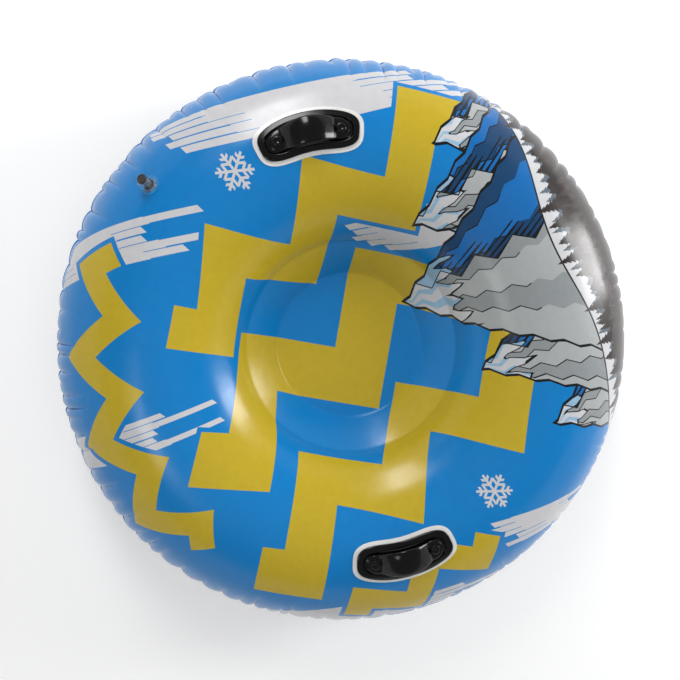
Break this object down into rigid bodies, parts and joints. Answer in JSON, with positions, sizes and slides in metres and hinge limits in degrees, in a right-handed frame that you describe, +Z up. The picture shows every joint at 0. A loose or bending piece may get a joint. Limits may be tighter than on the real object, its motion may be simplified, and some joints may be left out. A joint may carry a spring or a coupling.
{
  "type": "snow tube",
  "caption": "Round inflatable snow tube with a sunk stepped seat, puckered edge seam, two arched grab handles on bean-shaped bases and a push-in stem valve.",
  "frame": {"origin": "on the ground, below the middle of the ring", "axes": "+Z up, out of the seat; the two handles lie on the X axis, at the rider's hands; the valve is towards +X +Y"},
  "size_m": [1, 1, 0.3038],
  "materials": {
    "printed_film": "glossy printed PVC film, mostly bright blue",
    "plain_film": "glossy plain PVC film, dark blue",
    "clear_film": "milky PVC film",
    "white_film": "glossy white PVC film",
    "black_vinyl": "glossy moulded soft PVC",
    "clear_vinyl": "clear moulded soft PVC, slightly grey",
    "cap_vinyl": "smoky moulded soft PVC"
  },
  "bodies": {
    "tube": {"top_sheet": "printed_film", "bottom_sheet": "plain_film", "seat_baffle": "clear_film", "handle_patch_right": "white_film", "handle_patch_left": "white_film", "handle_base_right": "black_vinyl", "handle_base_left": "black_vinyl", "handle_grip_right": "black_vinyl", "handle_grip_left": "black_vinyl", "handle_rivet_right_front": "black_vinyl", "handle_rivet_right_back": "black_vinyl", "handle_rivet_left_front": "black_vinyl", "handle_rivet_left_back": "black_vinyl", "valve_flange": "clear_vinyl"},
    "stem": {"valve_stem": "clear_vinyl"},
    "cap": {"valve_cap": "cap_vinyl"},
    "flap": {"check_flap": "clear_vinyl"}
  },
  "joints": [
    {"name": "stem_slide", "type": "slide", "parent": "tube", "child": "stem", "axis": [0.3503, 0.2776, 0.8945], "range_m": [-0.015, 0]},
    {"name": "cap_hinge", "type": "hinge", "parent": "stem", "child": "cap", "pos_m": [0.32472, 0.27115, 0.27834], "axis": [-0.701, -0.5556, 0.447], "range_deg": [0, 150]},
    {"name": "flap_hinge", "type": "hinge", "parent": "stem", "child": "flap", "pos_m": [0.31786, 0.25691, 0.2499], "axis": [0.701, 0.5556, -0.447], "range_deg": [0, 70]}
  ]
}
